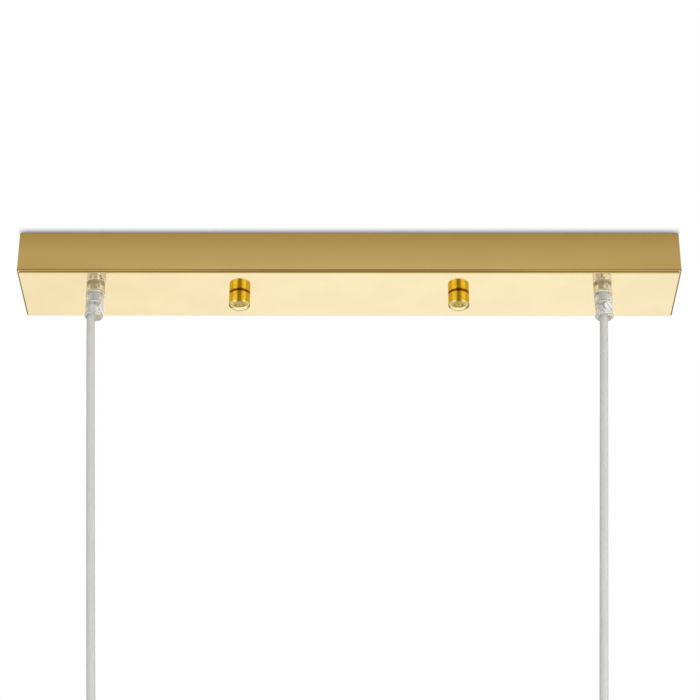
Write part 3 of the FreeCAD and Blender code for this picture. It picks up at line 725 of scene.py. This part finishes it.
for side, sign in SIDES.items():
    for core in CORE_TURNS:
        lead(f"{core}_core_{side}", "clear_core", X_AXIS)
lead("canopy_earth_lead", "green_yellow_insulation", Z_AXIS)

# ---- Stage: a white ceiling and floor, and surroundings that the brass mirrors ----

STAGE_SIDE = 8.0
CEILING_ABOVE = 0.2 * MM
FLOOR_BELOW = 2.6
SHADOW_REACH = 9 * MM               # of the contact shadow round the canopy
SHADOW_SAMPLES = 12
SHADOW_RANGE = (0.50, 0.97)         # openness from darkest to white
SHADOW_TONE = 0.17
END_MARGIN = (-2 * MM, 1 * MM)      # the shadow fades out here, beside the canopy's ends
CEILING_MIRRORED = (
    # what the brass mirrors of the ceiling, by distance from the canopy's edge
    (0.0, (0.41, 0.35, 0.19)), (0.12, (0.49, 0.45, 0.31)), (0.29, (0.58, 0.56, 0.43)),
    (0.36, (0.28, 0.24, 0.14)), (1.0, (0.27, 0.23, 0.14)),
)
CEILING_MIRRORED_REACH = 0.2
NEAR_ENDS = (0.12, 0.26)            # along X, towards the canopy's ends
FAR_OUT = (0.015, 0.055)            # paler from here, near the ends
FAR_OUT_TONE = (0.50, 0.44, 0.30)
BEYOND_FRONT = (0.062, 0.080)       # farther than the flat front mirrors: the bend's dark line
BEYOND_TONE = (0.18, 0.14, 0.07)

BELOW = (
    # what lies below the horizon, from in front (0) to behind (1)
    (0.06, (0.27, 0.225, 0.13)), (0.25, (0.34, 0.28, 0.14)), (0.40, (0.50, 0.41, 0.18)),
    (0.56, (0.56, 0.46, 0.20)), (0.64, (0.34, 0.26, 0.11)), (0.78, (0.34, 0.26, 0.11)),
    (0.83, (0.60, 0.53, 0.34)), (0.865, (1.0, 1.0, 1.0)),
)
WARMTH = (
    # a little warmer past the canopy's ends, from left (0) to right (1)
    (0.0, (0.93, 0.91, 0.86)), (0.30, (0.985, 0.975, 0.955)), (0.42, (1.0, 1.0, 1.0)),
    (0.80, (1.0, 1.0, 1.0)), (1.0, (0.965, 0.96, 0.95)),
)
WARMTH_REACH = 0.16
LEVEL = (
    # what lies level, from in front (0) to behind (1)
    (0.0, (0.30, 0.27, 0.22)), (0.3, (0.55, 0.53, 0.5)), (0.7, (0.85, 0.85, 0.85)),
    (1.0, (1.0, 1.0, 1.0)),
)
LEVEL_SIDES = (0.24, 0.19, 0.11)
BELOW_SIDES = (0.66, 0.62, 0.50)
# parts of the surroundings, as spans of direction: out along X, Z, Y
HIGH_BOXES = ((0.16, 0.56, 0.76, 0.92), (-0.66, -0.58, -0.44, -0.36), (-0.95, -0.9, -0.35, -0.10))
LOW_BOXES = ((0.24, 0.45, 0.62, 0.78), (-0.93, -0.86, -0.68, -0.60), (-0.60, -0.42, -0.12, 0.0))
BOX_WHITE = (1.0, 1.0, 1.0)
TONED_PARTS = (
    # the dark gap between the low boxes, then the two pale lines of the bend near the ends
    (((-0.2, -0.1, 0.06, 0.26), (-0.97, -0.93, -0.80, -0.74), (-0.66, -0.58, -0.34, -0.20)),
     (0.16, 0.12, 0.03)),
    (((0.04, 0.11, 0.24, 0.34), (-1.1, -1.05, -0.82, -0.74), (0.24, 0.29, 0.38, 0.44)),
     (0.74, 0.66, 0.44)),
    (((0.03, 0.10, 0.24, 0.34), (-0.50, -0.45, -0.24, -0.17), (-1.1, -1.05, -0.70, -0.60)),
     (1.0, 0.95, 0.80)),
)
AMBIENT = (0.92, 0.92, 0.92)
# painted shade: browns what is seen through plastic in the brass's mirror
BROWNED_PAINTED_SHADE = (0.36, 0.25, 0.08)        # on what is seen through plastic in the brass's mirror
WHITE = (1.0, 1.0, 1.0)

LAMPS = (
    # name, place, aim, side, watts
    ("key", (1.3, -1.5, -1.0), (0, 0, -0.15), 1.0, 28),
    ("fill", (-1.6, -1.2, -0.6), (0, 0, -0.15), 1.2, 7),
    ("top", (0.4, 0.6, 1.8), (0, 0, -0.02), 1.4, 9),
)


def stage_plane(name, height, corners, material, mirrored):
    mesh = bpy.data.meshes.new(name)
    half = STAGE_SIDE / 2
    mesh.from_pydata([(x * half, y * half, 0) for x, y in corners], [], [(0, 1, 2, 3)])
    plane = new_piece(name, mesh, material)
    plane.location.z = height
    plane.visible_shadow = plane.visible_diffuse = False
    plane.visible_glossy = mirrored


def seen_directly(tree):
    """1 for camera and transmission rays."""
    path = tree.nodes.new("ShaderNodeLightPath")
    return math_node(tree, "MAXIMUM", path.outputs["Is Camera Ray"], path.outputs["Is Transmission Ray"])


def contact_shadow(tree, out_x):
    """The ceiling's tone: white, and grey close to the canopy's long sides."""
    shade = tree.nodes.new("ShaderNodeAmbientOcclusion")
    shade.samples = SHADOW_SAMPLES
    set_inputs(shade, Distance=SHADOW_REACH)
    tone = map_range(tree, shade.outputs["AO"], *SHADOW_RANGE, to_low=SHADOW_TONE, smooth=False)
    beside = map_range(tree, out_x, *(CANOPY.x / 2 + margin for margin in END_MARGIN))
    return math_node(tree, "MAXIMUM", tone, beside)


def mirrored_ceiling(tree, out_x, out_y):
    """What the brass mirrors of the ceiling."""
    past_end = math_node(tree, "SUBTRACT", out_x, CANOPY.x / 2)
    past_side = math_node(tree, "SUBTRACT", out_y, CANOPY.y / 2)
    away = math_node(tree, "MAXIMUM", past_end, past_side)
    reach = map_range(tree, away, 0, CEILING_MIRRORED_REACH, smooth=False)
    tone = ramp(tree, reach, CEILING_MIRRORED)
    near_end = map_range(tree, out_x, *NEAR_ENDS)
    for span, end_tone in ((FAR_OUT, FAR_OUT_TONE), (BEYOND_FRONT, BEYOND_TONE)):
        share = math_node(tree, "MULTIPLY", near_end, map_range(tree, away, *span))
        tone = mixed(tree, share, tone, end_tone)
    return tone


def ceiling():
    """White from below, nothing from above, and dim gold where the brass mirrors it."""
    material, tree = emptied_material("ceiling_white")
    path = tree.nodes.new("ShaderNodeLightPath")
    x, y, _ = split_axes(tree, coordinates(tree, "Object"))
    out_x = math_node(tree, "ABSOLUTE", x)
    out_y = math_node(tree, "ABSOLUTE", y)
    colour = mixed(
        tree, path.outputs["Is Glossy Ray"], contact_shadow(tree, out_x),
        mirrored_ceiling(tree, out_x, out_y),
    )
    glow = tree.nodes.new("ShaderNodeEmission")
    link(tree, colour, glow.inputs["Color"])
    clear = tree.nodes.new("ShaderNodeBsdfTransparent")
    shown = math_node(tree, "MAXIMUM", seen_directly(tree), path.outputs["Is Glossy Ray"])
    behind = tree.nodes.new("ShaderNodeNewGeometry").outputs["Backfacing"]
    solid = math_node(tree, "MULTIPLY", shown, math_node(tree, "SUBTRACT", 1.0, behind))
    either = mixed_shader(tree, solid, clear.outputs[0], glow.outputs[0])
    output = tree.nodes.new("ShaderNodeOutputMaterial")
    link(tree, either, output.inputs["Surface"])
    corners = [(-1, -1), (-1, 1), (1, 1), (1, -1)]
    stage_plane("ceiling", CEILING_ABOVE, corners, material, mirrored=True)


def floor():
    """A plain pale floor, far below the lamp."""
    material, tree = emptied_material("floor_white")
    glow = tree.nodes.new("ShaderNodeEmission")
    output = tree.nodes.new("ShaderNodeOutputMaterial")
    link(tree, glow.outputs[0], output.inputs["Surface"])
    corners = [(-1, -1), (1, -1), (1, 1), (-1, 1)]
    stage_plane("floor", -FLOOR_BELOW, corners, material, mirrored=False)


def room_colour(tree):
    """The surroundings that mirrors and clear pieces show, by direction."""
    x, y, z = split_axes(tree, coordinates(tree, "Generated"))
    out = math_node(tree, "ABSOLUTE", x)
    along = map_range(tree, y, -1, 1, smooth=False)
    across = map_range(tree, x, -WARMTH_REACH, WARMTH_REACH, smooth=False)
    below = mixed(tree, 1.0, ramp(tree, along, BELOW), ramp(tree, across, WARMTH), "MULTIPLY")
    level = mixed(tree, map_range(tree, out, 0.25, 0.45), ramp(tree, along, LEVEL), LEVEL_SIDES)
    room = mixed(tree, map_range(tree, z, -0.15, -0.38), level, below)
    sides = math_node(tree, "MULTIPLY", map_range(tree, out, 0.35, 0.7), map_range(tree, z, -0.3, -0.5))
    room = mixed(tree, sides, room, BELOW_SIDES)
    high = window(tree, (out, z, y), HIGH_BOXES)
    low = window(tree, (out, z, y), LOW_BOXES)
    room = mixed(tree, math_node(tree, "MAXIMUM", high, low), room, BOX_WHITE)
    for spans, tone in TONED_PARTS:
        room = mixed(tree, window(tree, (out, z, y), spans), room, tone)
    return room


def world():
    """White to the eye, an even pale light on the part, and a room in its mirrors."""
    surroundings = bpy.data.worlds.new("studio")
    bpy.context.scene.world = surroundings
    surroundings.use_nodes = True
    tree = surroundings.node_tree
    room = room_colour(tree)
    path = tree.nodes.new("ShaderNodeLightPath")
    seen = mixed(tree, path.outputs["Is Glossy Ray"], AMBIENT, room)
    seen = mixed(tree, seen_directly(tree), seen, WHITE)
    # painted shade: what the brass mirrors through clear plastic is browned darker
    mirrored = math_node(tree, "GREATER_THAN", path.outputs["Glossy Depth"], 0.5)
    through = math_node(tree, "MULTIPLY", path.outputs["Is Transmission Ray"], mirrored)
    colour = mixed(tree, through, seen, mixed(tree, 1.0, room, BROWNED_PAINTED_SHADE, "MULTIPLY"))
    link(tree, colour, tree.nodes["Background"].inputs["Color"])


def soft_light(name, at, aim, side, watts):
    """A square lamp that no mirror shows."""
    data = bpy.data.lights.new(name, "AREA")
    data.shape = "SQUARE"
    data.size = side
    data.energy = watts
    light = bpy.data.objects.new(name, data)
    bpy.context.scene.collection.objects.link(light)
    light.location = at
    light.rotation_mode = "QUATERNION"
    light.rotation_quaternion = (Vector(aim) - Vector(at)).to_track_quat("-Z", "Y")
    light.visible_glossy = False


ceiling()
floor()
world()
for lamp in LAMPS:
    soft_light(*lamp)

bpy.context.scene.view_settings.view_transform = "Standard"
